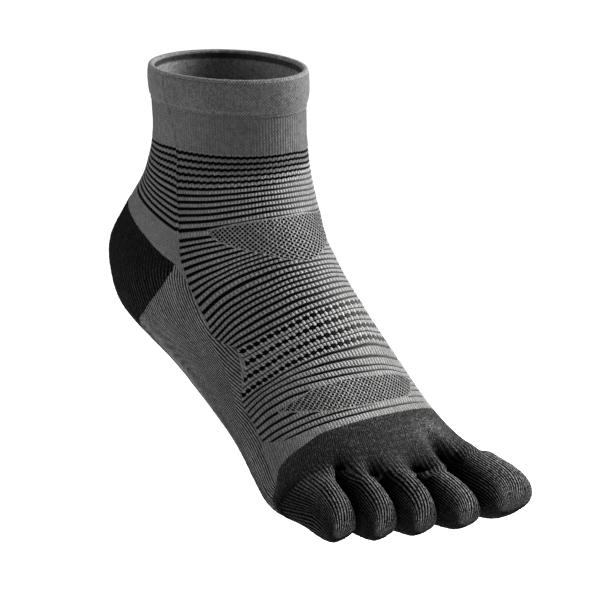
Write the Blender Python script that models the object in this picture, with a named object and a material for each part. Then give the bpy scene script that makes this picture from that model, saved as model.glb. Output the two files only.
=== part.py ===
"""A knitted ankle sock with five separate toes, for the right foot, in its worn form.

The whole sock follows one form: rings round the leg and foot, each with a side point, a front
point and a back point, carried from the mouth of the cuff to the roots of the toes. A place on
it has a station, which counts the rings downwards from the mouth, and an angle, which is 0 on
the outer side of the foot, 90 in front, 180 on the inner side and 270 behind or underneath.
Every knitted panel is a field of this form with its own wall.
"""

import bpy
import numpy as np

# Sizes in metres. The origin is the centre of the cuff's mouth and +Z is up. The toes point
# along -Y, and the big toe is on the +X side.
LEG_WIDTH = 0.062       # leg at the mouth, from side to side
LEG_DEPTH = 0.076       # leg at the mouth, from front to back
HEIGHT = 0.1812         # from the mouth down to the level that the toes reach
FOOT_REACH = 0.223      # level distance from the heel to the tip of the big toe
BALL_WIDTH = 0.091      # width across the ball of the foot
CUFF_HEIGHT = 0.0155    # depth of the double cuff
CUFF_WALL = 0.0028      # wall of the double cuff
CUFF_PROUD = 0.0006     # how far the cuff stands out from the leg below it
KNIT_WALL = 0.0015      # wall of the single knit
PAD_WALL = 0.0020       # wall of the thicker heel, sole and toe knit
PIECE_GAP = 0.0004      # clearance between neighbouring panels
TOE_GAP = 0.0006        # clearance between neighbouring toes
ROOT_GAP = 0.0012       # clearance between the toe box and the roots of the toes
BLEND_LENGTH = 0.007    # length over which a toe leaves the run of the form for its own section
TOE_SQUARE = 0.92       # power of a toe's oval section, 1 for an ellipse
TIP_ROUNDING = 1.1      # height at which a toe's end begins to narrow, as a share of its half width
TIP_SETBACK = 0.12      # how far a toe's point lies behind its reach, as a share of the tip's height
TIP_FRONT = 1.15        # how far up the front of a tip stays steep, as a share of the tip's height
TIP_CHIN = 0.12         # how far the skin runs on below a toe's point, as a share of the tip's height
TIP_SLOPE = (0.45, 0.89)        # direction of a toe's skin at its point, forwards and upwards
RIDGE_SLOPE = (0.85, -0.53)     # direction of a toe's ridge at its root, forwards and upwards
ROW_CROWDING = 1.8      # power by which the rows of a toe crowd towards its point
CREST_POWER = 1.5       # how narrow the crest of the instep is
LAG_RUN = (-0.8, 0.6)   # how the lag moves the front quarters, forwards and upwards
ADVANCE_RUN = (0.9, -0.35)      # how the advance moves the inner side, forwards and upwards

# Rings from the mouth down. The level places are shares of LEG_DEPTH in the leg and of
# FOOT_REACH in the foot, forwards from the axis of the leg. The depths below the mouth are
# shares of HEIGHT. The half width and the offset of the middle are shares of LEG_WIDTH in the
# leg and of BALL_WIDTH in the foot.
RING_COLUMNS = (
    "side_f", "side_z", "front_f", "front_z", "back_f", "back_z",
    "half", "middle", "crest", "front_square", "back_square", "lag", "advance", "tilt",
)
LEG_RINGS = (
    (-0.03, 0.000, 0.500, 0.000, -0.500, 0.000, 0.500, 0.0, 0.00, 2.0, 2.0, 0.00, 0.0, 0.0),
    (-0.01, 0.093, 0.493, 0.099, -0.500, 0.088, 0.492, 0.0, 0.00, 2.0, 2.0, 0.00, 0.0, 0.0),
    (0.01, 0.182, 0.500, 0.182, -0.493, 0.160, 0.492, 0.0, 0.00, 2.0, 2.0, 0.00, 0.0, 0.0),
    (0.02, 0.275, 0.520, 0.259, -0.520, 0.220, 0.524, 0.0, 0.00, 2.0, 2.0, 0.00, 0.0, 0.0),
    (0.04, 0.374, 0.566, 0.338, -0.600, 0.286, 0.556, 0.0, 0.01, 2.0, 2.0, 0.00, 0.0, 0.0),
)
FOOT_RINGS = (
    (0.013, 0.457, 0.206, 0.380, -0.272, 0.385, 0.380, 0.00, 0.02, 2.0, 2.0, 0.01, 0.00, 0.00),
    (0.036, 0.506, 0.218, 0.410, -0.322, 0.479, 0.375, 0.00, 0.03, 2.0, 2.1, 0.02, 0.00, 0.00),
    (0.063, 0.550, 0.233, 0.443, -0.325, 0.567, 0.370, 0.00, 0.05, 2.0, 2.1, 0.03, 0.00, 0.02),
    (0.094, 0.594, 0.260, 0.490, -0.288, 0.639, 0.370, 0.00, 0.06, 2.0, 2.2, 0.04, 0.00, 0.03),
    (0.134, 0.644, 0.292, 0.539, -0.198, 0.696, 0.374, 0.00, 0.07, 2.0, 2.2, 0.04, 0.00, 0.05),
    (0.180, 0.699, 0.327, 0.591, -0.068, 0.741, 0.388, -0.01, 0.08, 2.0, 2.3, 0.04, 0.02, 0.07),
    (0.224, 0.754, 0.365, 0.641, 0.062, 0.804, 0.404, -0.03, 0.09, 2.1, 2.4, 0.04, 0.05, 0.07),
    (0.274, 0.814, 0.401, 0.688, 0.179, 0.867, 0.426, -0.045, 0.09, 2.2, 2.4, 0.03, 0.08, 0.06),
    (0.327, 0.880, 0.441, 0.741, 0.283, 0.937, 0.452, -0.05, 0.08, 2.3, 2.6, 0.02, 0.15, 0.04),
    (0.381, 0.934, 0.486, 0.796, 0.377, 0.988, 0.478, -0.04, 0.06, 2.5, 3.0, 0.00, 0.24, 0.02),
    (0.450, 0.972, 0.550, 0.850, 0.475, 1.000, 0.480, -0.025, 0.04, 2.6, 3.1, 0.00, 0.32, 0.00),
)
LAST_STATION = len(LEG_RINGS) + len(FOOT_RINGS) - 1

# Edges of the panels as pairs of angle and station, read by a smooth closed curve or, for the
# edge between instep and sole, as pairs of station and angle.
GORE_STATION = 5.0
HEEL_BLUNT = 4.0        # degrees by which the heel's blunt ends stop short of the gores
HEEL_TOP = ((180, 5.0), (190, 4.95), (205, 4.8), (225, 4.72), (315, 4.72), (335, 4.8), (350, 4.95), (360, 5.0))
HEEL_BOTTOM = (
    (180, 5.0), (190, 6.25), (200, 7.15), (209, 7.85), (218, 8.25), (230, 8.7), (250, 9.1),
    (290, 9.1), (310, 8.7), (322, 8.25), (331, 7.85), (340, 7.15), (350, 6.25), (360, 5.0),
)
TOE_BOX_EDGE = (
    (0, 14.25), (5, 14.1), (18, 13.5), (36, 13.3), (50, 13.15), (120, 13.15), (150, 13.2),
    (180, 13.5), (230, 13.9), (270, 14.1), (315, 14.3), (344, 14.4), (360, 14.25),
)
ROOT_EDGE = (
    (0, 14.6), (30, 14.35), (48, 14.4), (66, 14.9), (88, 14.95), (101, 14.7), (130, 14.5),
    (180, 14.75), (215, 14.7), (250, 14.8), (315, 14.9), (360, 14.6),
)
INSTEP_EDGE = (
    (5.0, 0), (5.8, 3.5), (8.3, 3), (9.0, 9), (9.7, 16), (10.4, 12), (11.0, 7), (12.0, 9),
    (13.0, 10), (14.5, 6),
)

# Toes from the big one outwards. The borders of a toe's lane and the middle of its tip are
# shares of BALL_WIDTH, and its reach from the axis of the leg a share of FOOT_REACH. The top
# of the tip and its underside are shares of HEIGHT below the mouth. The point is a share of the
# way up between them, and the fullness a share of the toe's length over which its ridge stays high.
TOE_COLUMNS = (
    "name", "outer", "inner", "outer_tip", "inner_tip", "reach", "top", "bottom", "point", "fullness",
)
TOES = (
    ("big_toe", 0.148, None, 0.150, 0.460, 0.677, 0.874, 0.985, 0.35, 0.30),
    ("second_toe", -0.033, 0.148, -0.030, 0.150, 0.640, 0.898, 0.991, 0.20, 0.42),
    ("third_toe", -0.198, -0.033, -0.203, -0.030, 0.597, 0.903, 0.998, 0.18, 0.45),
    ("fourth_toe", -0.352, -0.198, -0.370, -0.203, 0.560, 0.905, 1.000, 0.18, 0.50),
    ("little_toe", None, -0.352, -0.540, -0.370, 0.519, 0.908, 0.996, 0.20, 0.45),
)

# Hollows of the toe box above the gaps between the toes: angle, station, the reach of the hollow
# both ways, and its depth as a share of BALL_WIDTH.
HOLLOWS = (
    (50, 14.5, 5.0, 0.34, 0.044),
    (66, 15.0, 5.0, 0.44, 0.052),
    (88, 15.0, 5.0, 0.46, 0.046),
    (101, 14.6, 3.8, 0.80, 0.066),
    (99, 14.0, 3.0, 0.45, 0.013),
)
HOLLOW_WAY = (0, 0.5, -0.87)
OUTER_TOE_SIDE = 24     # degrees above and below the side that belong to an outermost toe's side
RUN_ON = 0.3            # stations over which the direction of the form at the roots is taken

# Facets. Half a turn of the form has the same columns in every panel, so that edges meet.
COLUMNS_HALF = 24
CUFF_ROWS = 3
LEG_ROWS = 9
HEEL_ROWS = 9
FOOT_ROWS = 14
TOE_BOX_ROWS = 5
TOE_SIDE = 5
TOE_ROWS = 8


def ring_table():
    """All rings in metres, one row each, in the order of RING_COLUMNS."""
    rows = []
    for rings, level, width in ((LEG_RINGS, LEG_DEPTH, LEG_WIDTH), (FOOT_RINGS, FOOT_REACH, BALL_WIDTH)):
        for shares in rings:
            scale = {
                "side_f": level, "front_f": level, "back_f": level,
                "side_z": -HEIGHT, "front_z": -HEIGHT, "back_z": -HEIGHT,
                "half": width, "middle": width, "crest": width, "lag": width,
            }
            rows.append([share * scale.get(name, 1) for name, share in zip(RING_COLUMNS, shares)])
    return np.array(rows)


RINGS = ring_table()


def smooth_rows(table, station):
    """The rows of a table at any station, by a Catmull-Rom curve through them."""
    first = 2 * table[:1] - table[1:2]
    last = 2 * table[-1:] - table[-2:-1]
    padded = np.concatenate([first, table, last])
    station = np.clip(station, 0, len(table) - 1)
    below = np.minimum(station.astype(int), len(table) - 2)
    t = (station - below)[..., None]
    a, b, c, d = (padded[below + k] for k in range(4))
    cubic = 3 * b - a - 3 * c + d
    return 0.5 * (2 * b + (c - a) * t + (2 * a - 5 * b + 4 * c - d) * t ** 2 + cubic * t ** 3)


def smooth_edge(pairs, place):
    """The second numbers of pairs at a place among the first ones, by a monotone cubic curve."""
    x, y = np.array(pairs, float).T
    slope = np.diff(y) / np.diff(x)
    tangent = np.zeros(len(x))
    same = slope[:-1] * slope[1:] > 0
    tangent[1:-1] = np.where(same, 2 * slope[:-1] * slope[1:] / np.where(same, slope[:-1] + slope[1:], 1), 0)
    tangent[0], tangent[-1] = slope[0], slope[-1]
    place = np.clip(place, x[0], x[-1])
    k = np.clip(np.searchsorted(x, place, side="right") - 1, 0, len(x) - 2)
    h = x[k + 1] - x[k]
    t = (place - x[k]) / h
    start = (1 + 2 * t) * (1 - t) ** 2 * y[k] + t * (1 - t) ** 2 * h * tangent[k]
    return start + t ** 2 * (3 - 2 * t) * y[k + 1] + t ** 2 * (t - 1) * h * tangent[k + 1]


def signed_power(value, exponent):
    """A power that keeps the sign of its base."""
    return np.sign(value) * np.abs(value) ** exponent


def form(angle, station):
    """Points of the sock's form at angles in degrees and stations, as arrays of one shape.

    A ring is two half ovals that share their side points: one over the front point, one round
    the back point. The half ovals are superellipses. The crest moves the front point inwards,
    the lag draws the middle of each front quarter back, the advance takes the inner side
    forwards and, in front, downwards, and the tilt raises it.
    """
    angle, station = np.broadcast_arrays(np.asarray(angle, float), np.asarray(station, float))
    p = dict(zip(RING_COLUMNS, np.moveaxis(smooth_rows(RINGS, station), -1, 0)))
    turn = np.radians(angle)
    in_front = np.sin(turn) >= 0
    power = 2 / np.where(in_front, p["front_square"], p["back_square"])
    across = -signed_power(np.cos(turn), power)
    reach = np.abs(np.sin(turn)) ** power
    end_f = np.where(in_front, p["front_f"], p["back_f"])
    end_z = np.where(in_front, p["front_z"], p["back_z"])
    crest = np.where(in_front, p["crest"] * reach ** CREST_POWER, 0)
    lag = np.where(in_front, p["lag"] * 4 * reach * (1 - reach), 0)
    x = p["middle"] + p["half"] * across + crest
    forward = p["side_f"] + (end_f - p["side_f"]) * reach + LAG_RUN[0] * lag
    forward = forward + ADVANCE_RUN[0] * p["advance"] * x
    turned = ADVANCE_RUN[1] * p["advance"] * np.where(in_front, 1, 1 - reach)
    z = p["side_z"] + (end_z - p["side_z"]) * reach + LAG_RUN[1] * lag + (p["tilt"] + turned) * x
    return np.stack([x, -forward, z], axis=-1)


def toe_form(angle, station):
    """The form with its hollows above the gaps between the toes."""
    depth = np.zeros(np.broadcast(angle, station).shape)
    for at_angle, at_station, wide, high, deep in HOLLOWS:
        spread = ((angle - at_angle) / wide) ** 2 + ((station - at_station) / high) ** 2
        depth += deep * BALL_WIDTH * np.exp(-spread)
    return form(angle, station) + depth[..., None] * HOLLOW_WAY


def cuff_end():
    """The station where the cuff meets the leg."""
    return np.interp(CUFF_HEIGHT, -RINGS[:, 1], np.arange(len(RINGS)))


def leg_end(angle):
    """The station where the leg ends: the top of the heel behind, the gore in front."""
    behind = smooth_edge(HEEL_TOP, angle % 360)
    return np.where(angle % 360 > 180, behind, GORE_STATION)


def sole_start(angle):
    """The station where the sole begins: the lower edge of the heel behind, the gore beside it."""
    behind = smooth_edge(HEEL_BOTTOM, angle % 360)
    return np.where(angle % 360 > 180, behind, GORE_STATION)


def toe_box_start(angle):
    """The station where the toe box begins."""
    return smooth_edge(TOE_BOX_EDGE, angle % 360)


def root_station(angle):
    """The station where the toes begin."""
    return smooth_edge(ROOT_EDGE, angle % 360)


def instep_edge(share):
    """The angle of the instep panel's outer edge at a share of its length."""
    station = GORE_STATION + (toe_box_start(np.float64(0)) - GORE_STATION) * share
    return smooth_edge(INSTEP_EDGE, station)


def field(first, last, start, end):
    """A field of the foot between two side edges and two end edges.

    first and last give the angles of the side edges at a share along, start and end the
    stations of the end edges at an angle.
    """
    across, along = np.meshgrid(np.linspace(0, 1, COLUMNS_HALF + 1), np.linspace(0, 1, FOOT_ROWS + 1))
    angle = first(along) + (last(along) - first(along)) * across
    station = start(angle) + (end(angle) - start(angle)) * along
    return form(angle, station)


def draw_in(grid, rows=(), columns=()):
    """Moves the named edge rows and columns of a grid inwards by half a piece gap, square to the edge."""
    grid = grid.copy()
    for axis, edges in ((0, rows), (1, columns)):
        view = np.moveaxis(grid, axis, 0)
        for edge in edges:
            step = view[1 if edge == 0 else -2] - view[edge]
            tangent = np.gradient(view[edge], axis=0)
            tangent /= np.maximum(np.linalg.norm(tangent, axis=-1, keepdims=True), PIECE_GAP)
            step -= tangent * (step * tangent).sum(axis=-1, keepdims=True)
            length = np.linalg.norm(step, axis=-1, keepdims=True)
            view[edge] += step / np.maximum(length, PIECE_GAP) * PIECE_GAP / 2
    return grid


def grid_faces(rows, columns, closed):
    """Faces of a grid whose outward side is on the left of its rows as they run on."""
    i, j = np.meshgrid(np.arange(rows - 1), np.arange(columns if closed else columns - 1), indexing="ij")
    k = (j + 1) % columns
    corners = [i * columns + j, (i + 1) * columns + j, (i + 1) * columns + k, i * columns + k]
    return np.stack(corners, axis=-1).reshape(-1, 4).tolist()


def knit_material(name, colour, roughness=0.9):
    """A plain matt finish for one panel."""
    material = bpy.data.materials.new(name)
    material.use_nodes = True
    shader = material.node_tree.nodes["Principled BSDF"]
    shader.inputs["Base Color"].default_value = (*colour, 1)
    shader.inputs["Roughness"].default_value = roughness
    shader.inputs["Metallic"].default_value = 0
    return material


def add_object(name, points, faces, material):
    """A smooth mesh object of one panel."""
    mesh = bpy.data.meshes.new(name)
    mesh.from_pydata(points.tolist(), [], faces)
    mesh.shade_smooth()
    piece = bpy.data.objects.new(name, mesh)
    piece.data.materials.append(material)
    bpy.context.collection.objects.link(piece)
    return piece


def add_wall(piece, thickness, even=True):
    """Gives a panel's surface its wall, inwards from the outer side.

    An even wall keeps its thickness at a bend. It isn't for a corner as sharp as a toe's root.
    """
    wall = piece.modifiers.new("wall", "SOLIDIFY")
    wall.thickness = thickness
    wall.offset = -1
    wall.use_even_offset = even
    wall.thickness_clamp = 0


def round_angles(edge=0.0):
    """The angles of all columns round the form, with the instep's outer edges at an angle."""
    half = np.arange(COLUMNS_HALF) / COLUMNS_HALF
    return np.concatenate([edge + (180 - 2 * edge) * half, 180 - edge + (180 + 2 * edge) * half])


def make_cuff(material):
    """The double cuff: a wall with a rounded fold at the mouth, carried round the leg."""
    angles = round_angles()
    end = cuff_end()
    fold = CUFF_WALL / 2
    drop = fold / CUFF_HEIGHT
    # The profile runs up the outside, over the fold and down the inside. Each point has a share
    # of the cuff's depth and an outward offset from the form.
    outside = [(share, CUFF_PROUD) for share in np.linspace(1, drop, CUFF_ROWS + 1)]
    over = [
        (drop * (1 - np.sin(turn)), CUFF_PROUD - fold + fold * np.cos(turn))
        for turn in np.radians((45, 90, 135))
    ]
    inside = [(share, CUFF_PROUD - CUFF_WALL) for share in np.linspace(drop, 1, CUFF_ROWS + 1)]
    profile = outside + over + inside
    outward = form(angles, 0.0) * (1, 1, 0)
    outward /= np.linalg.norm(outward, axis=-1, keepdims=True)
    rows = []
    for share, offset in profile:
        ring = form(angles, np.full(len(angles), share * end)) + outward * offset
        if share == 1:
            ring[:, 2] += PIECE_GAP / 2
        rows.append(ring)
    points = np.stack(rows[::-1])
    faces = grid_faces(len(profile), len(angles), closed=True)
    last = (len(profile) - 1) * len(angles)
    for j in range(len(angles)):
        k = (j + 1) % len(angles)
        faces.append((last + j, j, k, last + k))
    return add_object("cuff", points.reshape(-1, 3), faces, material)


def make_leg(material):
    """The tube below the cuff."""
    angles = round_angles()
    along = np.linspace(0, 1, LEG_ROWS + 1)[:, None]
    station = cuff_end() + (leg_end(angles) - cuff_end()) * along
    grid = draw_in(form(angles[None, :], station), rows=(0, -1))
    piece = add_object("leg", grid.reshape(-1, 3), grid_faces(*grid.shape[:2], closed=True), material)
    add_wall(piece, KNIT_WALL)


def make_panel(name, grid, material, wall):
    """A panel with four edges, each drawn in for the gap to its neighbour."""
    grid = draw_in(grid, rows=(0, -1), columns=(0, -1))
    piece = add_object(name, grid.reshape(-1, 3), grid_faces(*grid.shape[:2], closed=False), material)
    add_wall(piece, wall)


def make_heel(material):
    """The pocket between the two curved heel edges, which all but meet at the gores."""
    angles = np.clip(np.linspace(180, 360, COLUMNS_HALF + 1), 180 + HEEL_BLUNT, 360 - HEEL_BLUNT)
    along = np.linspace(0, 1, HEEL_ROWS + 1)[:, None]
    start = leg_end(angles)
    grid = form(angles[None, :], start + (sole_start(angles) - start) * along)
    make_panel("heel_pocket", grid, material, PAD_WALL)


def make_instep(material):
    """The striped panel over the instep."""
    grid = field(
        instep_edge, lambda share: 180 - instep_edge(share),
        lambda angle: GORE_STATION, toe_box_start,
    )
    make_panel("instep_panel", grid, material, KNIT_WALL)


def make_sole(material):
    """The plain panel under the foot and up both of its sides."""
    grid = field(
        lambda share: 180 - instep_edge(share), lambda share: 360 + instep_edge(share),
        sole_start, toe_box_start,
    )
    make_panel("sole_panel", grid, material, PAD_WALL)


def make_toe_box(material):
    """The dark band round the ball of the foot."""
    angles = round_angles(instep_edge(np.float64(1)))
    along = np.linspace(0, 1, TOE_BOX_ROWS + 1)[:, None]
    start = toe_box_start(angles)
    grid = draw_in(toe_form(angles[None, :], start + (root_station(angles) - start) * along), rows=(0,))
    piece = add_object("toe_box", grid.reshape(-1, 3), grid_faces(*grid.shape[:2], closed=True), material)
    add_wall(piece, KNIT_WALL)


def root_angle(x, above):
    """The angle on the root edge, above or below the side points, where it has a given x."""
    angles = np.linspace(0, 180, 181) if above else np.linspace(360, 180, 181)
    return np.interp(x, form(angles, root_station(angles))[:, 0], angles)


def toe_mouth(toe):
    """The root of a toe as a loop of points, with the directions in which the form runs on.

    The loop goes up the outer side, over the top, down the inner side and back underneath. A
    side between two toes is straight, and the outermost sides follow the edge of the toe box.
    """
    outer_high = OUTER_TOE_SIDE if toe["outer"] is None else root_angle(toe["outer"] * BALL_WIDTH, True)
    outer_low = 360 - OUTER_TOE_SIDE if toe["outer"] is None else root_angle(toe["outer"] * BALL_WIDTH, False)
    inner_high = 180 - OUTER_TOE_SIDE if toe["inner"] is None else root_angle(toe["inner"] * BALL_WIDTH, True)
    inner_low = 180 + OUTER_TOE_SIDE if toe["inner"] is None else root_angle(toe["inner"] * BALL_WIDTH, False)
    steps = np.arange(TOE_SIDE) / TOE_SIDE

    def on_edge(start, end):
        angles = start + (end - start) * steps
        edge = toe_form(angles, root_station(angles))
        return edge, edge - toe_form(angles, root_station(angles) - RUN_ON)

    def straight(start, end):
        angles = np.array([start, end])
        ends = toe_form(angles, root_station(angles))
        way = ends - toe_form(angles, root_station(angles) - RUN_ON)
        mix = steps[:, None]
        return ends[0] * (1 - mix) + ends[1] * mix, way[0] * (1 - mix) + way[1] * mix

    if toe["outer"] is None:
        outer_side = on_edge(outer_low - 360, outer_high)
    else:
        outer_side = straight(outer_low, outer_high)
    inner_side = on_edge(inner_high, inner_low) if toe["inner"] is None else straight(inner_high, inner_low)
    parts = (outer_side, on_edge(outer_high, inner_high), inner_side, on_edge(inner_low, outer_low))
    loop = np.concatenate([part[0] for part in parts])
    way = np.concatenate([part[1] for part in parts])
    return loop, way / np.linalg.norm(way, axis=-1, keepdims=True)


def lane_border(root, tip, reach, forward):
    """The x of a border between two toes at places forward, a straight line from root to tip."""
    angle = root_angle(root * BALL_WIDTH, True)
    start = form(angle, root_station(angle))
    share = (forward + start[1]) / (reach * FOOT_REACH + start[1])
    return (root + (tip - root) * share) * BALL_WIDTH


def keep_in_lane(toe, grid):
    """Presses a toe flat where it would pass the border to a neighbour."""
    index = [row[0] for row in TOES].index(toe["name"])
    forward = -grid[..., 1]
    if toe["inner"] is not None:
        reach = (toe["reach"] + TOES[index - 1][TOE_COLUMNS.index("reach")]) / 2
        border = lane_border(toe["inner"], toe["inner_tip"], reach, forward)
        grid[..., 0] = np.minimum(grid[..., 0], border - TOE_GAP / 2)
    if toe["outer"] is not None:
        reach = (toe["reach"] + TOES[index + 1][TOE_COLUMNS.index("reach")]) / 2
        border = lane_border(toe["outer"], toe["outer_tip"], reach, forward)
        grid[..., 0] = np.maximum(grid[..., 0], border + TOE_GAP / 2)
    return grid


def bezier(points, t):
    """Points of a cubic curve between the first and the last of four points."""
    a, b, c, d = (np.asarray(point, float) for point in points)
    t = t[:, None]
    return a * (1 - t) ** 3 + 3 * b * t * (1 - t) ** 2 + 3 * c * t ** 2 * (1 - t) + d * t ** 3


def toe_surface(toe):
    """A toe from its root to the last ring before its point, and the point.

    Seen from the side, one curve runs from the root over the top and down the front, another
    along the underside, and both end at the point, low in front. Each ring is an oval between
    them that fills the toe's lane. Near the root the rings pass into the run of the form.
    """
    loop, way = toe_mouth(toe)
    loop = loop + way * ROOT_GAP
    root_x = (loop[:, 0].max() + loop[:, 0].min()) / 2
    top, bottom = loop[loop[:, 2].argmax()], loop[loop[:, 2].argmin()]
    reach, low = toe["reach"] * FOOT_REACH, -toe["bottom"] * HEIGHT
    tip_half = (toe["inner_tip"] - toe["outer_tip"]) * BALL_WIDTH / 2 - TOE_GAP / 2
    tip_x = (toe["inner_tip"] + toe["outer_tip"]) * BALL_WIDTH / 2
    tall = -toe["top"] * HEIGHT - low
    t = 1 - (1 - np.linspace(0, 1, TOE_ROWS + 1)[:-1]) ** ROW_CROWDING
    end = np.array([reach - TIP_SETBACK * tall, low + toe["point"] * tall])
    slope, run = np.array(TIP_SLOPE), np.array(RIDGE_SLOPE)
    high, deep = np.array([-top[1], top[2]]), np.array([-bottom[1], bottom[2]])
    for _ in range(4):
        ridge = (high, high + run * toe["fullness"] * (reach - high[0]), end + slope * TIP_FRONT * tall, end)
        over = bezier(ridge, t)
        end[0] += reach - over[:, 0].max()
    sole = (deep, ((deep[0] + end[0]) / 2, low), end - slope * (toe["point"] + TIP_CHIN) * tall, end)
    under = bezier(sole, t)
    centre, half_way = (over + under) / 2, (over - under) / 2
    fullness = np.minimum(np.linalg.norm(half_way, axis=1) / (TIP_ROUNDING * tip_half), 1)
    half = (np.ptp(loop[:, 0]) / 2 * (1 - t) + tip_half * t) * np.sqrt(1 - (1 - fullness) ** 2)
    centre_x = root_x + (tip_x - root_x) * t
    around = np.radians(-45 + 90 * np.arange(len(loop)) / TOE_SIDE)
    across, upwards = signed_power(np.cos(around), TOE_SQUARE), signed_power(np.sin(around), TOE_SQUARE)
    x = centre_x[:, None] - half[:, None] * across
    y = -(centre[:, :1] + half_way[:, :1] * upwards)
    z = centre[:, 1:] + half_way[:, 1:] * upwards
    oval = np.stack([x, y, z], axis=-1)
    moved = np.linalg.norm(centre - centre[0], axis=1)
    run_on = loop + way * moved[:, None, None]
    mixed = np.minimum(moved / BLEND_LENGTH, 1)
    blend = (mixed ** 2 * (3 - 2 * mixed))[:, None, None]
    grid = keep_in_lane(toe, run_on * (1 - blend) + oval * blend)
    return grid, np.array([tip_x, -end[0], end[1]])


def make_toe(toe, material):
    """One toe, open at its root."""
    grid, point = toe_surface(toe)
    rows, columns = grid.shape[:2]
    faces = grid_faces(rows, columns, closed=True)
    last = (rows - 1) * columns
    faces += [(last + j, rows * columns, last + (j + 1) % columns) for j in range(columns)]
    points = np.vstack([grid.reshape(-1, 3), point])
    piece = add_object(toe["name"], points, faces, material)
    add_wall(piece, KNIT_WALL, even=False)


def build():
    """Removes what is there and makes the eleven pieces."""
    for other in list(bpy.data.objects):
        bpy.data.objects.remove(other)
    grey = knit_material("grey_knit", (0.13, 0.13, 0.13))
    striped = knit_material("striped_knit", (0.16, 0.16, 0.16))
    black = knit_material("black_knit", (0.015, 0.015, 0.016), 0.95)
    make_cuff(grey)
    make_leg(striped)
    make_heel(black)
    make_instep(striped)
    make_sole(grey)
    make_toe_box(black)
    for row in TOES:
        make_toe(dict(zip(TOE_COLUMNS, row)), black)


build()
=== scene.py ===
"""The look of the toe sock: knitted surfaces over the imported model, with a stage and a camera.

Every panel is a fine grid on one form, the rings that run from the mouth of the cuff to the roots
of the toes. A place on it has a station, counted downwards in rings, and an angle, 0 on the outer
side, 90 in front, 180 on the inner side and 270 behind or underneath. The knit is laid on in wales
and courses, which the relief of the meshes and the materials both read.
"""

import math

import bpy
import numpy as np
from mathutils import Matrix, Vector


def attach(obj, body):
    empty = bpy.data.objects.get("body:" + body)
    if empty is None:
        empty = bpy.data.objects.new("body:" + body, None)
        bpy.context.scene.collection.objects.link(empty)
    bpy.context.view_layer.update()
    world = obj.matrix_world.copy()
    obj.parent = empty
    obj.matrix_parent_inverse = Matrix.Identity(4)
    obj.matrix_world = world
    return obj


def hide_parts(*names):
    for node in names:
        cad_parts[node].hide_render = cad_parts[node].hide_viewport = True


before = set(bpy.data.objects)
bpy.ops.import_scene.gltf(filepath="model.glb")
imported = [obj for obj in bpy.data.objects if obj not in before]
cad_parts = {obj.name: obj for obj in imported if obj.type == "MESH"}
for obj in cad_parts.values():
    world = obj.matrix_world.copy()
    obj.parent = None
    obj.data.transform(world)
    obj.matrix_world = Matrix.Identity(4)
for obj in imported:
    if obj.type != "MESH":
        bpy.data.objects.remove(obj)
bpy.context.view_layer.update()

# Sizes of the form in metres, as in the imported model.
LEG_WIDTH = 0.062
LEG_DEPTH = 0.076
HEIGHT = 0.1812
FOOT_REACH = 0.223
BALL_WIDTH = 0.091
CUFF_HEIGHT = 0.0155
CUFF_WALL = 0.0028
CUFF_PROUD = 0.0006
KNIT_WALL = 0.0015
PAD_WALL = 0.0020
TOE_GAP = 0.0003
BLEND_LENGTH = 0.007

# The toes' shape: how square a ring is, the tip's place and roundness, and the slopes of the
# curves that lead to it, each as a share or as a run forwards and upwards.
TOE_SQUARE = 0.92
TIP_ROUNDING = 1.1
TIP_POWER = 2.3
TIP_SETBACK = 0.12
TIP_FRONT = 1.15
TIP_CHIN = 0.12
TIP_SLOPE = (0.45, 0.89)
RIDGE_SLOPE = (0.85, -0.53)
ROW_CROWDING = 1.8

# How the rings' crest, lag and advance work, the last two as runs forwards and upwards.
CREST_POWER = 1.5
LAG_RUN = (-0.8, 0.6)
ADVANCE_RUN = (0.9, -0.35)

# Sizes of the knit in metres.
WALES = 160              # wales round the sock
WALE_WIDTH = 0.00145     # width of a wale of the toes
COURSE = 0.00135         # height of a course of the plain knit
STRIPE_PITCH = 0.0031    # distance from one black stripe to the next
STRIPE_DEPTH = 0.00035   # how far a stripe lies below the bands beside it
BAR_DEPTH = 0.00008      # relief of a single wale on the striped knit
BLACK_BAR = 0.00006      # relief of a single wale on the plain black knit
RIB_WALES = 1.25         # wales to one rib of a toe
SOLE_WALES = 1.1         # fine lines of the sole to one wale
RIB_DEPTH = 0.00022      # relief of the toes' ribs
HEEL_PAINTED_LIGHT = 0.15          # painted shade: how light the heel's colour is painted, darker than on the toes
JOG = 0.22               # share of a stripe by which stripes shift where their ends meet
GROOVE_REACH = 0.17      # half width of a stripe's groove, as a share of the pitch
MESH_MARGIN = 0.0007     # plain knit round the open mesh
# Height and length of the unevenness that small stitches, soft swells and terry loops give.
STITCH = (0.00010, 0.0021)
CUFF_STITCH = (0.00008, 0.0017)
SWELL = (0.00035, 0.019)
LOOP = (0.00010, 0.0011)
SEAM = (0.00045, 0.0006)   # height and half width of the seam's ridge
CUFF_BULGE = 0.0008
WELT = (0.0007, 0.93, 0.06)   # depth, place and reach of the welt line, as shares of the cuff

# The rings' measures, and what each is a share of: f the reach forwards, z the height, w the
# width, or nothing.
RING_COLUMNS = (
    "side_f", "side_z", "front_f", "front_z", "back_f", "back_z",
    "half", "middle", "crest", "front_square", "back_square", "lag", "advance", "tilt",
)
RING_UNITS = "fzfzfzwww11w11"
LEG_RINGS = (
    (-0.03, 0.000, 0.500, 0.000, -0.500, 0.000, 0.500, 0, 0, 2, 2, 0, 0, 0),
    (-0.01, 0.093, 0.493, 0.099, -0.500, 0.088, 0.492, 0, 0, 2, 2, 0, 0, 0),
    (0.01, 0.182, 0.500, 0.182, -0.493, 0.160, 0.492, 0, 0, 2, 2, 0, 0, 0),
    (0.02, 0.275, 0.520, 0.259, -0.520, 0.220, 0.524, 0, 0, 2, 2, 0, 0, 0),
    (0.04, 0.374, 0.566, 0.338, -0.600, 0.286, 0.556, 0, 0.01, 2, 2, 0, 0, 0),
)
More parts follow.
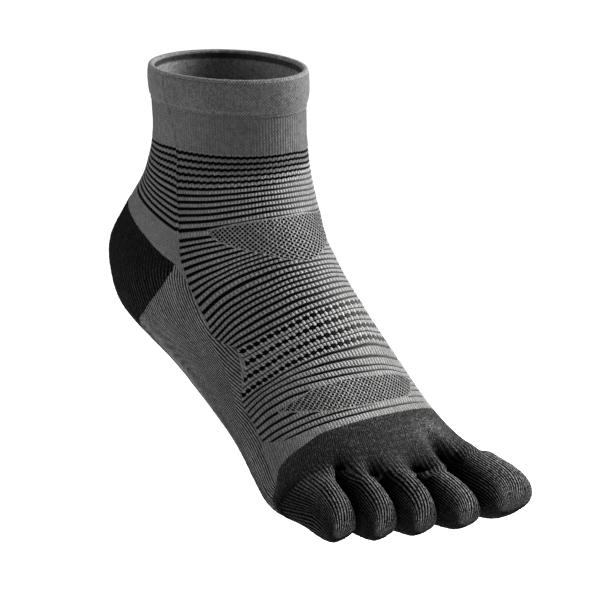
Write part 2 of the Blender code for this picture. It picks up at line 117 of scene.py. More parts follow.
FOOT_RINGS = (
    (0.013, 0.457, 0.206, 0.380, -0.272, 0.385, 0.380, 0, 0.02, 2, 2, 0.01, 0, 0),
    (0.036, 0.506, 0.218, 0.410, -0.322, 0.479, 0.375, 0, 0.03, 2, 2.1, 0.02, 0, 0),
    (0.063, 0.550, 0.233, 0.443, -0.325, 0.567, 0.370, 0, 0.05, 2, 2.1, 0.03, 0, 0.02),
    (0.094, 0.594, 0.260, 0.490, -0.288, 0.639, 0.370, 0, 0.06, 2, 2.2, 0.04, 0, 0.03),
    (0.134, 0.644, 0.292, 0.539, -0.198, 0.696, 0.374, 0, 0.07, 2, 2.2, 0.04, 0, 0.05),
    (0.180, 0.699, 0.327, 0.591, -0.068, 0.741, 0.388, -0.01, 0.08, 2, 2.3, 0.04, 0.02, 0.07),
    (0.224, 0.754, 0.365, 0.641, 0.062, 0.804, 0.404, -0.03, 0.09, 2.1, 2.4, 0.04, 0.05, 0.07),
    (0.274, 0.814, 0.401, 0.688, 0.179, 0.867, 0.426, -0.045, 0.09, 2.2, 2.4, 0.03, 0.08, 0.06),
    (0.327, 0.880, 0.441, 0.741, 0.283, 0.937, 0.452, -0.05, 0.08, 2.3, 2.6, 0.02, 0.15, 0.04),
    (0.381, 0.934, 0.486, 0.796, 0.377, 0.988, 0.478, -0.04, 0.06, 2.5, 3, 0, 0.24, 0.02),
    (0.450, 0.972, 0.550, 0.850, 0.475, 1.000, 0.480, -0.025, 0.04, 2.6, 3.1, 0, 0.32, 0),
)
LAST_STATION = len(LEG_RINGS) + len(FOOT_RINGS) - 1

# Edges of the panels as pairs of angle and station, and of the instep as station and angle.
GORE_STATION = 5.0
HEEL_BLUNT = 0.5
HEEL_TOP = (
    (180, 5.0), (190, 4.95), (205, 4.8), (225, 4.72), (315, 4.72), (335, 4.8), (350, 4.95), (360, 5.0),
)
HEEL_BOTTOM = (
    (180, 5.0), (190, 6.25), (200, 7.15), (209, 7.85), (218, 8.25), (230, 8.7), (250, 9.1),
    (290, 9.1), (310, 8.7), (322, 8.25), (331, 7.85), (340, 7.15), (350, 6.25), (360, 5.0),
)
TOE_BOX_EDGE = (
    (0, 14.25), (5, 14.1), (18, 13.5), (36, 13.3), (50, 13.15), (120, 13.15), (150, 13.2),
    (180, 13.5), (230, 13.9), (270, 14.1), (315, 14.3), (344, 14.4), (360, 14.25),
)
ROOT_EDGE = (
    (0, 14.6), (30, 14.35), (48, 14.4), (66, 14.9), (88, 14.95), (101, 14.7), (130, 14.5),
    (180, 14.75), (215, 14.7), (250, 14.8), (315, 14.9), (360, 14.6),
)
INSTEP_EDGE = (
    (5.0, 0), (5.8, 3.5), (8.3, 3), (9.0, 9), (9.7, 16), (10.4, 12), (11.0, 7), (12.0, 9),
    (13.0, 10), (14.5, 6),
)

TOE_COLUMNS = (
    "name", "outer", "inner", "outer_tip", "inner_tip", "reach", "top", "bottom", "point", "fullness",
)
TOES = (
    ("big_toe", 0.148, None, 0.150, 0.446, 0.668, 0.874, 0.991, 0.27, 0.42),
    ("second_toe", -0.033, 0.148, -0.030, 0.150, 0.640, 0.898, 0.991, 0.20, 0.42),
    ("third_toe", -0.198, -0.033, -0.203, -0.030, 0.597, 0.903, 0.998, 0.18, 0.45),
    ("fourth_toe", -0.352, -0.198, -0.370, -0.203, 0.560, 0.905, 1.000, 0.18, 0.50),
    ("little_toe", None, -0.352, -0.540, -0.370, 0.519, 0.908, 0.996, 0.20, 0.45),
)
OUTERMOST_SIDES = {"outer": (24, 336), "inner": (156, 204)}   # angles of their upper and lower ends
RUN_ON = 0.3   # stations over which the form's run is taken at the toes' roots

# The black stripes, counted downwards along the line on the outer side where they start: pairs of
# station and count. Between 12 and the lower edge they are on the front of the sock alone.
STRIPE_COUNT = (
    (0.0, -10.0), (2.05, 1), (3.0, 6.15), (4.0, 12), (4.3, 13), (4.5, 14), (5.0, 16), (6.05, 19),
    (7.05, 22), (7.8, 24), (8.5, 27), (9.3, 31.5), (10.8, 38.5), (11.7, 43), (12.5, 46.5), (15.0, 58),
)
FIRST_STRIPE = 1
LAST_RING_STRIPE = 12
DASHES = (31.4, 38.6)
STRIPE_LINE = (
    (0.0, -8), (0.85, -7), (2.0, -1), (3.0, 1), (4.0, 4), (4.75, 5), (5.35, 6), (6.05, 4),
    (7.8, 4), (8.5, 2), (8.95, 11), (9.25, 16), (9.8, 18), (10.25, 13), (10.75, 7), (11.15, 6),
    (11.85, 10), (12.35, 11), (12.6, 16), (15.0, 20),
)
LOWER_EDGE = ((0, 12.5), (16, 12.6), (24, 12.8), (40, 12.9), (90, 12.98), (140, 12.9), (180, 12.5))
# How many stations further up than on the line a stripe runs at other angles, from the back round
# the outer side and the front: three numbers behind, which hold for both sides, and six in front.
SAG_ANGLES = (-90, -56, -25, 4, 25, 45, 68, 90, 124, 155, 176, 205, 236, 270)
LEVEL = (0, 0, 0)
SAG = (
    (2.0, (-0.45, -0.35, -0.15), (0, 0, 0, 0, -0.12, -0.10)),
    (4.0, (-0.30, -0.25, -0.12), (0.05, 0.13, 0.20, 0.17, 0.07, 0.03)),
    (5.0, (-0.20, -0.15, -0.10), (0.10, 0.20, 0.38, 0.38, 0.20, 0.08)),
    (6.0, LEVEL, (0.10, 0.36, 0.60, 0.58, 0.28, 0.10)),
    (7.0, LEVEL, (0.25, 0.50, 0.65, 0.58, 0.27, 0.12)),
    (8.5, LEVEL, (0.20, 0.47, 0.75, 0.80, 0.48, 0.20)),
    (9.3, LEVEL, (0, 0.15, 0.42, 0.50, 0.30, 0.10)),
    (10.8, LEVEL, (0.05, 0.27, 0.45, 0.44, 0, -0.05)),
    (11.3, LEVEL, (0.14, 0.22, 0.17, -0.03, -0.50, -0.30)),
    (12.5, LEVEL, (0, 0, -0.05, -0.08, -0.15, -0.10)),
    (15.0, LEVEL, 2 * LEVEL),
)

# The two fields of open mesh, as pairs of angle and station of their upper and lower edges.
MESH_FIELDS = (
    (
        ((26, 4.02), (44, 3.9), (64, 3.85), (90, 3.85), (119, 4.0), (152, 4.02)),
        ((26, 4.05), (29, 4.25), (38, 4.65), (47, 5.05), (56, 5.5), (71, 6.35), (84, 6.7),
         (95, 6.45), (120, 5.55), (138, 4.7), (152, 4.05)),
    ),
    (
        ((28, 11.8), (42, 11.7), (55, 11.55), (70, 11.55), (86, 11.7), (110, 12.0), (118, 12.2)),
        ((28, 11.85), (45, 12.25), (61, 12.55), (79, 12.65), (94, 12.7), (103, 12.7), (114, 12.4),
         (118, 12.25)),
    ),
)
# Rough lengths of a station and of a degree, for distances on the form.
METRES_A_STATION = 0.0165
METRES_A_DEGREE = 0.00062

# Hollows of the toe box above the gaps between the toes: angle, station, the reach of the hollow
# both ways, and its depth as a share of BALL_WIDTH. The last one is the swell of the big toe's root.
HOLLOWS = (
    (50, 14.5, 5.0, 0.34, 0.044),
    (66, 15.0, 5.0, 0.44, 0.052),
    (88, 15.0, 5.0, 0.46, 0.046),
    (101, 14.8, 4.2, 0.65, 0.054),
    (99, 14.1, 3.5, 0.45, 0.010),
    (124, 15.2, 17.0, 0.95, -0.085),
)
HOLLOW_WAY = (0, 0.5, -0.87)
KNUCKLE_HIGHLIGHT = (105, 13.85)   # angle and station of the painted highlight on the big toe's knuckle, where the pile's colour is lightest

# Cells of the grids, and how many of them one cell of the lining spans.
LINING = 4
COLUMNS_ROUND = 528
LEG_ROWS = 144
CUFF_ROWS = 32
FOLD_ROWS = 10
HEEL_COLUMNS = 192
HEEL_ROWS = 160
INSTEP_COLUMNS = 256
INSTEP_ROWS = 272
SOLE_COLUMNS = 240
SOLE_ROWS = 240
TOE_BOX_ROWS = 48
TOE_SIDE = 44
TOE_ROWS = 93
ROUND = np.linspace(-90, 270, COLUMNS_ROUND + 1)[None, :]   # angles of the closed panels' columns

# The view: where the camera and the lights look, and the camera's place and its shift aside.
MIDDLE = Vector((0, -0.05, -0.095))
CAMERA_AZIMUTH = -43.5
CAMERA_ELEVATION = 16
CAMERA_DISTANCE = 1.25
CAMERA_LENS = 174
CAMERA_ASIDE = Vector((-0.0035, -0.001, 0))
FLOOR_LEVEL = -0.5
FLOOR_REACH = 4
BLACK = (0, 0, 0, 1)
WARM_WHITE = (1, 1, 0.99, 1)


def ring_table():
    """All rings in metres, one row each, in the order of RING_COLUMNS."""
    rows = []
    for rings, reach, width in ((LEG_RINGS, LEG_DEPTH, LEG_WIDTH), (FOOT_RINGS, FOOT_REACH, BALL_WIDTH)):
        scale = {"f": reach, "z": -HEIGHT, "w": width, "1": 1}
        rows.append(np.array(rings) * [scale[unit] for unit in RING_UNITS])
    return np.concatenate(rows)


RINGS = ring_table()
CUFF_END = np.interp(CUFF_HEIGHT, -RINGS[:, 1], np.arange(len(RINGS)))   # its station


def smooth_rows(table, station):
    """The rows of a table at any station, by a Catmull-Rom curve through them."""
    first = 2 * table[:1] - table[1:2]
    last = 2 * table[-1:] - table[-2:-1]
    padded = np.concatenate([first, table, last])
    station = np.clip(station, 0, len(table) - 1)
    below = np.minimum(station.astype(int), len(table) - 2)
    t = (station - below)[..., None]
    a, b, c, d = (padded[below + k] for k in range(4))
    cubic = 3 * b - a - 3 * c + d
    return 0.5 * (2 * b + (c - a) * t + (2 * a - 5 * b + 4 * c - d) * t ** 2 + cubic * t ** 3)


def smooth_edge(pairs, place):
    """The second numbers of pairs at a place among the first ones, by a monotone cubic curve."""
    x, y = np.array(pairs, float).T
    slope = np.diff(y) / np.diff(x)
    tangent = np.zeros(len(x))
    same = slope[:-1] * slope[1:] > 0
    tangent[1:-1] = np.where(same, 2 * slope[:-1] * slope[1:] / np.where(same, slope[:-1] + slope[1:], 1), 0)
    tangent[0], tangent[-1] = slope[0], slope[-1]
    place = np.clip(place, x[0], x[-1])
    k = np.clip(np.searchsorted(x, place, side="right") - 1, 0, len(x) - 2)
    h = x[k + 1] - x[k]
    t = (place - x[k]) / h
    start = (1 + 2 * t) * (1 - t) ** 2 * y[k] + t * (1 - t) ** 2 * h * tangent[k]
    return start + t ** 2 * (3 - 2 * t) * y[k + 1] + t ** 2 * (t - 1) * h * tangent[k + 1]


def signed_power(value, exponent):
    """A power that keeps the sign of its base."""
    return np.sign(value) * np.abs(value) ** exponent


def step(value, start, end):
    """0 before start and 1 after end, smooth between them."""
    t = np.clip((value - start) / (end - start), 0, 1)
    return t * t * (3 - 2 * t)


def form(angle, station):
    """Points of the sock's form at angles in degrees and stations, as arrays of one shape.

    A ring is two half ovals that share their side points: one over the front point, one round
    the back point. The half ovals are superellipses. The crest moves the front point inwards,
    the lag draws the middle of each front quarter back, the advance takes the inner side
    forwards and, in front, downwards, and the tilt raises it.
    """
    angle, station = np.broadcast_arrays(np.asarray(angle, float), np.asarray(station, float))
    p = dict(zip(RING_COLUMNS, np.moveaxis(smooth_rows(RINGS, station), -1, 0)))
    turn = np.radians(angle)
    in_front = np.sin(turn) >= 0
    power = 2 / np.where(in_front, p["front_square"], p["back_square"])
    across = -signed_power(np.cos(turn), power)
    reach = np.abs(np.sin(turn)) ** power
    end_f = np.where(in_front, p["front_f"], p["back_f"])
    end_z = np.where(in_front, p["front_z"], p["back_z"])
    crest = np.where(in_front, p["crest"] * reach ** CREST_POWER, 0)
    lag = np.where(in_front, p["lag"] * 4 * reach * (1 - reach), 0)
    x = p["middle"] + p["half"] * across + crest
    forward = p["side_f"] + (end_f - p["side_f"]) * reach + LAG_RUN[0] * lag
    forward = forward + ADVANCE_RUN[0] * p["advance"] * x
    sinking = ADVANCE_RUN[1] * p["advance"] * np.where(in_front, 1, 1 - reach)
    z = p["side_z"] + (end_z - p["side_z"]) * reach + LAG_RUN[1] * lag + (p["tilt"] + sinking) * x
    return np.stack([x, -forward, z], axis=-1)


def heel_line(edge, angle):
    """The station of an edge of the heel behind, and of the gore in front, where the instep begins."""
    return np.where(angle % 360 > 180, smooth_edge(edge, angle % 360), GORE_STATION)


def toe_box_start(angle):
    """The station where the toe box begins."""
    return smooth_edge(TOE_BOX_EDGE, angle % 360)


def root_station(angle):
    """The station where the toes begin."""
    return smooth_edge(ROOT_EDGE, angle % 360)


def instep_edge(share):
    """The angle of the instep panel's outer edge at a share of its length."""
    station = GORE_STATION + (toe_box_start(np.float64(0)) - GORE_STATION) * share
    return smooth_edge(INSTEP_EDGE, station)


class Lookup:
    """A table of numbers over angle and station, read between its points by straight lines."""

    ANGLES = np.arange(-90, 451, 3.0)
    STATIONS = np.arange(0, LAST_STATION + 0.01, 0.125)

    def __init__(self, table):
        self.table = table

    def __call__(self, angle, station):
        angle, station = np.broadcast_arrays(angle, station)
        i = (np.clip(station, 0, LAST_STATION)) / (self.STATIONS[1] - self.STATIONS[0])
        j = (np.clip(angle, -90, 450) + 90) / (self.ANGLES[1] - self.ANGLES[0])
        i0 = np.minimum(i.astype(int), len(self.STATIONS) - 2)
        j0 = np.minimum(j.astype(int), len(self.ANGLES) - 2)
        u, v = i - i0, j - j0
        upper = self.table[i0, j0] * (1 - v) + self.table[i0, j0 + 1] * v
        lower = self.table[i0 + 1, j0] * (1 - v) + self.table[i0 + 1, j0 + 1] * v
        return upper * (1 - u) + lower * u


def running_sum(grid, axis):
    """The distance covered by a grid's points from its first one on along an axis."""
    steps = np.linalg.norm(np.diff(grid, axis=axis), axis=-1)
    pad = [(0, 0), (0, 0)]
    pad[axis] = (1, 0)
    return np.pad(np.cumsum(steps, axis=axis), pad)


def knit_lookups():
    """Lookups of the wale, as a share of the way round from the front, and of the length down."""
    grid = form(Lookup.ANGLES[None, :], Lookup.STATIONS[:, None])
    round_it = running_sum(grid, axis=1)
    front, turn_end = np.searchsorted(Lookup.ANGLES, (90, 270))
    full_turn = round_it[:, [turn_end]] - round_it[:, [0]]
    return Lookup((round_it - round_it[:, [front]]) / full_turn), Lookup(running_sum(grid, axis=0))


wale_share, length_down = knit_lookups()


def start_lookup():
    """The lookup of the station where the stripe through a place meets the starting line.

    SAG is smoothed along the angles and along the stations, and turned round by reading the
    starting station at each place that it leads to.
    """
    turn = (Lookup.ANGLES + 90) % 360 - 90
    rows, stations, columns = [], [], []
    for station, behind, front in SAG:
        sag = (*behind, 0, *front, 0, *behind[::-1])
        rows.append(smooth_edge(tuple(zip(SAG_ANGLES, sag)), turn))
        stations.append(station)
    for column in np.transpose(rows):
        place = Lookup.STATIONS - smooth_edge(tuple(zip(stations, column)), Lookup.STATIONS)
        columns.append(np.interp(Lookup.STATIONS, np.maximum.accumulate(place), Lookup.STATIONS))
    return Lookup(np.transpose(columns))


start_of_stripe = start_lookup()


def turned(angle):
    """Angles brought to the turn from -90 to 270."""
    return (angle + 90) % 360 - 90


def line_distance(angle, station):
    """The way in metres from the stripes' starting lines on both sides, positive in front."""
    line = smooth_edge(STRIPE_LINE, station)
    return (90 - np.abs(turned(angle) - 90) - line) * METRES_A_DEGREE


def stripe_count(angle, station):
    """How many stripes lie above a place, with the jog where a ring's ends meet."""
    behind = line_distance(angle, station) < 0
    return smooth_edge(STRIPE_COUNT, start_of_stripe(angle, station)) + JOG * behind


def mesh_distance(angle, station):
    """The way in metres into the nearest field of open mesh, negative outside."""
    nearest = np.full(np.broadcast(angle, station).shape, -1.0)
    turn = turned(angle)
    for upper, lower in MESH_FIELDS:
        down = np.minimum(station - smooth_edge(upper, turn), smooth_edge(lower, turn) - station)
        sideways = np.minimum(turn - upper[0][0], upper[-1][0] - turn)
        inside = np.minimum(down * METRES_A_STATION, sideways * METRES_A_DEGREE * 1.5)
        nearest = np.maximum(nearest, inside)
    return nearest


def stripe_distance(angle, station):
    """The way in metres into the striped field, negative outside."""
    count = stripe_count(angle, station)
    turn = turned(angle)
    above = (count - FIRST_STRIPE + 0.5) * STRIPE_PITCH
    ring = (LAST_RING_STRIPE + 0.5 - count) * STRIPE_PITCH
    in_front = line_distance(angle, station)
    below = (smooth_edge(LOWER_EDGE, turn) - station) * METRES_A_STATION
    off_mesh = -mesh_distance(angle, station) - MESH_MARGIN
    field = np.minimum(np.maximum(ring, in_front), below)
    return np.minimum(np.minimum(above, field), off_mesh)


def random_field(seed, cells):
    """A smooth random surface over two coordinates, which repeats after a number of cells."""
    lattice = np.random.default_rng(seed).uniform(-1, 1, (cells, cells))

    def at(u, v):
        u, v = np.broadcast_arrays(u, v)
        iu, iv = np.floor(u).astype(int), np.floor(v).astype(int)
        fu, fv = u - iu, v - iv
        fu, fv = fu * fu * (3 - 2 * fu), fv * fv * (3 - 2 * fv)
        a, b, c, d = (lattice[(iu + i) % cells, (iv + j) % cells] for i in (0, 1) for j in (0, 1))
        return (a * (1 - fv) + b * fv) * (1 - fu) + (c * (1 - fv) + d * fv) * fu

    return at


fine_unevenness = random_field(3, WALES // 2)
broad_unevenness = random_field(8, WALES // 16)


def normals(grid, closed):
    """Outward directions at a grid's points, from its steps along rows and columns."""
    down = np.gradient(grid, axis=0)
    across = np.gradient(grid, axis=1)
    if closed:
        across[:, 0] = across[:, -1] = (grid[:, 1] - grid[:, -2]) / 2
    out = np.cross(down, across)
    return out / np.maximum(np.linalg.norm(out, axis=-1, keepdims=True), 1e-12)


def hollow_parts(angle, station):
    """The share, from 0 to 1, that each hollow has at a place, in the order of HOLLOWS."""
    return [
        np.exp(-((turned(angle) - at_angle) / wide) ** 2 - ((station - at_station) / high) ** 2)
        for at_angle, at_station, wide, high, _ in HOLLOWS
    ]


def hollow_painted_shade(angle, station):
    """How far a place lies in the first four hollows, 0 to 1: painted shade, darkest at their bottoms."""
    return np.clip(sum(hollow_parts(angle, station)[:4]) * 1.7 - 0.35, 0, 1)


def toe_form(angle, station):
    """The form with its hollows above the gaps between the toes."""
    parts = hollow_parts(angle, station)
    depth = sum(part * row[-1] * BALL_WIDTH for part, row in zip(parts, HOLLOWS))
    return form(angle, station) + depth[..., None] * HOLLOW_WAY


def knit_relief(angle, station, wale):
    """Height of the striped and plain knit over the form.

    Bands bulge between the stripes, each wale is a small ridge, and a soft unevenness runs over
    all of it.
    """
    count = stripe_count(angle, station)
    striped = step(stripe_distance(angle, station), -0.0002, 0.0003)
    to_line = np.abs((count + 0.5) % 1 - 0.5)
    groove = np.exp(-(to_line / GROOVE_REACH) ** 2)
    dashed = step(count, DASHES[0] - 0.2, DASHES[0]) * step(-count, -DASHES[1] - 0.2, -DASHES[1])
    tufts = 0.5 + 0.5 * np.cos(np.pi * wale)
    groove = groove * (1 - 0.6 * dashed * tufts)
    bars = np.cos(2 * np.pi * wale) * BAR_DEPTH
    length = length_down(angle, station)
    uneven = STITCH[0] * fine_unevenness(wale / 2, length / STITCH[1])
    swell = SWELL[0] * broad_unevenness(wale / 16, length / SWELL[1])
    return bars - STRIPE_DEPTH * striped * groove + uneven + swell


def black_relief(wale, length, rib_share):
    """Height of the black terry knit: small loops, and ribs where rib_share is 1."""
    loops = LOOP[0] * fine_unevenness(wale, length / LOOP[1])
    fine = BLACK_BAR * np.cos(2 * np.pi * wale)
    ribs = RIB_DEPTH * (np.abs(np.cos(np.pi * wale / RIB_WALES)) ** 1.4 - 0.5)
    return loops + fine * (1 - rib_share) + ribs * rib_share


def quads(number):
    """The quads of a grid of point numbers."""
    corners = number[:-1, :-1], number[1:, :-1], number[1:, 1:], number[:-1, 1:]
    return np.stack(corners, axis=-1).reshape(-1, 4)


def rim(outer, inner):
    """Faces between an outer edge and the lining's edge, which has fewer points."""
    k = np.arange(len(inner) - 1)[:, None]
    return np.hstack([outer[k * LINING + np.arange(LINING + 1)], inner[k + 1], inner[k]])


def fan(edge, tip):
    """Triangles between an edge and a tip."""
    return np.stack([edge[:-1], np.full(len(edge) - 1, tip), edge[1:]], axis=-1)


def make_skin(name, material, base, relief, wall, values, closed, tip=None):
    """A knitted wall: a grid raised by its relief, a coarser lining, and rims or a tip to close them.

    A point of the outside is the base plus the outward direction times the relief, and one of the
    lining is the base less the wall. In a closed grid the last column is the first one again.
    """
    outward = normals(base, closed)
    outer = base + outward * relief[..., None]
    lining = (base - outward * wall)[::LINING, ::LINING]
    number = np.arange(outer[..., 0].size).reshape(outer.shape[:2])
    inner = number.size + np.arange(lining[..., 0].size).reshape(lining.shape[:2])
    points = [outer.reshape(-1, 3), lining.reshape(-1, 3)]
    knit = [values.reshape(-1, 6), values[::LINING, ::LINING].reshape(-1, 6)]
    faces = [quads(number), quads(inner)[:, ::-1], rim(number[0], inner[0])]
    if tip is None:
        faces.append(rim(number[-1, ::-1], inner[-1, ::-1]))
    else:
        first = number.size + inner.size
        points += [tip[None], (tip + (lining[-1].mean(axis=0) - tip) * 0.5)[None]]
        knit += [values[-1].mean(axis=0)[None]] * 2
        faces += [fan(number[-1], first), fan(inner[-1], first + 1)[:, ::-1]]
    points, knit = np.concatenate(points), np.concatenate(knit)
    same = np.arange(len(points))
    if closed:
        same[number[:, -1]], same[inner[:, -1]] = number[:, 0], inner[:, 0]
    else:
        faces += [rim(number[::-1, 0], inner[::-1, 0]), rim(number[:, -1], inner[:, -1])]
    return knit_object(name, points, knit, faces, same, material)


def placed(name, data):
    """A new object in the scene."""
    thing = bpy.data.objects.new(name, data)
    bpy.context.collection.objects.link(thing)
    return thing


def knit_object(name, points, values, faces, same, material):
    """A smooth mesh with the values at its face corners as attributes for the materials.

    The faces come in blocks of point numbers, and same says which point stands for each one.
    """
    used, renumbered = np.unique(same, return_inverse=True)
    mesh = bpy.data.meshes.new(name)
    mesh.from_pydata(points[used].tolist(), [], sum((renumbered[block].tolist() for block in faces), []))
    mesh.shade_smooth()
    corners = np.concatenate([block.ravel() for block in faces])
    for title, part in (("knit", values[:, :3]), ("pattern", values[:, 3:])):
        attribute = mesh.attributes.new(title, "FLOAT_VECTOR", "CORNER")
        attribute.data.foreach_set("vector", part[corners].astype(np.float32).ravel())
    piece = placed(name, mesh)
    piece.data.materials.append(material)
    return piece


def knit_values(angle, station, wale, openness):
    """What the materials read: wale, length down and openness, then count and the two insets in mm."""
    angle, station = np.broadcast_arrays(angle, station)
    return np.stack([
        wale, length_down(angle, station) * 1000, np.broadcast_to(openness, wale.shape),
        stripe_count(angle, station), stripe_distance(angle, station) * 1000,
        mesh_distance(angle, station) * 1000,
    ], axis=-1)


def wales(angle, station):
    """The wale at a place, counted from the middle of the front."""
    return wale_share(angle, station) * WALES


def seam_ridge(angle, station):
    """The thin raised seam from the rim down to the first stripe on the outer side."""
    to_seam = line_distance(angle, station)
    outer = (turned(angle) < 90) & (station < 4.3)
    return SEAM[0] * np.exp(-(to_seam / SEAM[1]) ** 2) * outer


def make_cuff():
    """The double cuff: a bulged wall with a rounded fold at the mouth and a welt line below."""
    fold = CUFF_WALL / 2
    drop = fold / CUFF_HEIGHT
    down = np.linspace(1, drop, CUFF_ROWS)
    turn = np.radians(np.linspace(0, 180, FOLD_ROWS + 2)[1:-1])
    share = np.concatenate([down, drop * (1 - np.sin(turn)), down[::-1]])[:, None]
    depth, place, reach = WELT
    bulge = CUFF_BULGE * np.sin(np.pi * down) ** 0.8 - depth * np.exp(-((down - place) / reach) ** 2)
    outset = np.concatenate([
        CUFF_PROUD + bulge, CUFF_PROUD - fold + fold * np.cos(turn), 0 * down + CUFF_PROUD - CUFF_WALL,
    ])
    station = share * CUFF_END + 0 * ROUND
    outward = form(ROUND, 0.0) * (1, 1, 0)
    outward /= np.linalg.norm(outward, axis=-1, keepdims=True)
    wale = wales(ROUND, station)
    texture = CUFF_STITCH[0] * fine_unevenness(wale / 2, length_down(ROUND, station) / CUFF_STITCH[1])
    swell = 0.0005 * broad_unevenness(wale / 16, share * 1.3)
    on_outside = (np.arange(len(share)) < CUFF_ROWS)[:, None]
    relief = texture + (swell + seam_ridge(ROUND, station)) * on_outside
    points = form(ROUND, station) + outward * (outset[:, None] + relief)[..., None]
    values = knit_values(ROUND, station, wale, 0.0)
    values[..., 3] = np.where(on_outside, share, -1 - share)
    points, values = np.concatenate([points, points[:1]])[::-1], np.concatenate([values, values[-1:]])[::-1]
    number = np.arange(points[..., 0].size).reshape(points.shape[:2])
    same = number.copy()
    same[:, -1], same[-1] = same[:, 0], same[0]
    same[-1, -1] = 0
    points, values = points.reshape(-1, 3), values.reshape(-1, 6)
    return knit_object("cuff", points, values, [quads(number)], same.ravel(), grey_knit)


def make_field(
    name, material, angle, station, wall, closed, openness, raised=None, painted_light=None, base_form=form
):
    """A panel of the form from its angles and stations, with the knit's relief.

    On the black knit raised says how far its ribs stand out, and the painted light how light
    its colour is painted, low for painted shade, both from 0 to 1. There openness is the share
    of the ribs in its colour.
    """
    base = base_form(angle, station)
    angle, station = np.broadcast_arrays(angle, station)
    wale = wales(angle, station)
    values = knit_values(angle, station, wale, openness)
    if painted_light is None:
        height = knit_relief(angle, station, wale) + seam_ridge(angle, station)
    else:
        height = black_relief(wale, length_down(angle, station), raised)
        values[..., 3] = painted_light
    return make_skin(name, material, base, height, wall, values, closed)


def openness_and_front_light(angle, station):
    """How open the knit is, and how much painted light its bands get: 0 behind, 1 on the outer
    half of the front and 2 on its inner half.
    """
    turn = turned(angle)
    from_edge = 90 - np.abs(turn - 90)
    return step(from_edge, 4, 66) * (1 + step(turn, 62, 118)) * step(station, 2.3, 3.0)


def make_leg():
    """The tube below the cuff."""
    along = np.linspace(0, 1, LEG_ROWS + 1)[:, None]
    station = CUFF_END + (heel_line(HEEL_TOP, ROUND) - CUFF_END) * along
    openness = openness_and_front_light(ROUND, station)
    return make_field("leg", striped_knit, ROUND, station, KNIT_WALL, True, openness)


def make_instep():
    """The striped panel over the instep."""
    across = np.linspace(0, 1, INSTEP_COLUMNS + 1)[None, :]
    along = np.linspace(0, 1, INSTEP_ROWS + 1)[:, None]
    edge = instep_edge(along)
    angle = edge + (180 - 2 * edge) * across
    station = GORE_STATION + (toe_box_start(angle) - GORE_STATION) * along
    openness = openness_and_front_light(angle, station)
    return make_field("instep_panel", striped_knit, angle, station, KNIT_WALL, False, openness)


def make_sole():
    """The plain panel under the foot and up both of its sides."""
    across = np.linspace(0, 1, SOLE_COLUMNS + 1)[None, :]
    along = np.linspace(0, 1, SOLE_ROWS + 1)[:, None]
    edge = instep_edge(along)
    angle = 180 - edge + (180 + 2 * edge) * across
    start = heel_line(HEEL_BOTTOM, angle)
    station = start + (toe_box_start(angle) - start) * along
    return make_field("sole_panel", grey_knit, angle, station, PAD_WALL, False, 1.0)


def make_heel():
    """The pocket between the two curved heel edges, which all but meet at the gores."""
    angle = np.linspace(180 + HEEL_BLUNT, 360 - HEEL_BLUNT, HEEL_COLUMNS + 1)[None, :]
    along = np.linspace(0, 1, HEEL_ROWS + 1)[:, None]
    start = heel_line(HEEL_TOP, angle)
    station = start + (heel_line(HEEL_BOTTOM, angle) - start) * along
    ribs = 0.25 + 0.6 * step(along, 0.4, 0.75)
    # The heel's colour is darkened by painted shade.
    return make_field("heel_pocket", black_knit, angle, station, PAD_WALL, False, ribs, 0.0, HEEL_PAINTED_LIGHT)


def make_toe_box():
    """The dark band round the ball of the foot."""
    along = np.linspace(0, 1, TOE_BOX_ROWS + 1)[:, None]
    start = toe_box_start(ROUND)
    station = start + (root_station(ROUND) - start) * along
    aside = np.abs(turned(ROUND) - 90)
    on_top = step(aside, 105, 75) * (1 - along) + step(aside, 90, 50) * along
    ribs = step(along, 0.6, 1.3) * on_top
    # Painted light and shade: the colour is lighter on top and darker towards the toes' roots, with painted
    # shade in the hollows and a painted highlight on the big toe's knuckle.
    painted_light = (0.35 - 0.3 * along + 0.65 * on_top) * (1 - hollow_painted_shade(ROUND, station))
    knuckle_highlight = np.exp(-((turned(ROUND) - KNUCKLE_HIGHLIGHT[0]) / 11) ** 2 - ((station - KNUCKLE_HIGHLIGHT[1]) / 0.38) ** 2)
    painted_light = painted_light * (1 + 1.3 * knuckle_highlight)
    return make_field("toe_box", black_knit, ROUND, station, KNIT_WALL, True, ribs, ribs, painted_light, toe_form)


def root_angle(x, above):
    """The angle on the root edge, above or below the side points, where it has a given x."""
    angles = np.linspace(0, 180, 181) if above else np.linspace(360, 180, 181)
    return np.interp(x, form(angles, root_station(angles))[:, 0], angles)


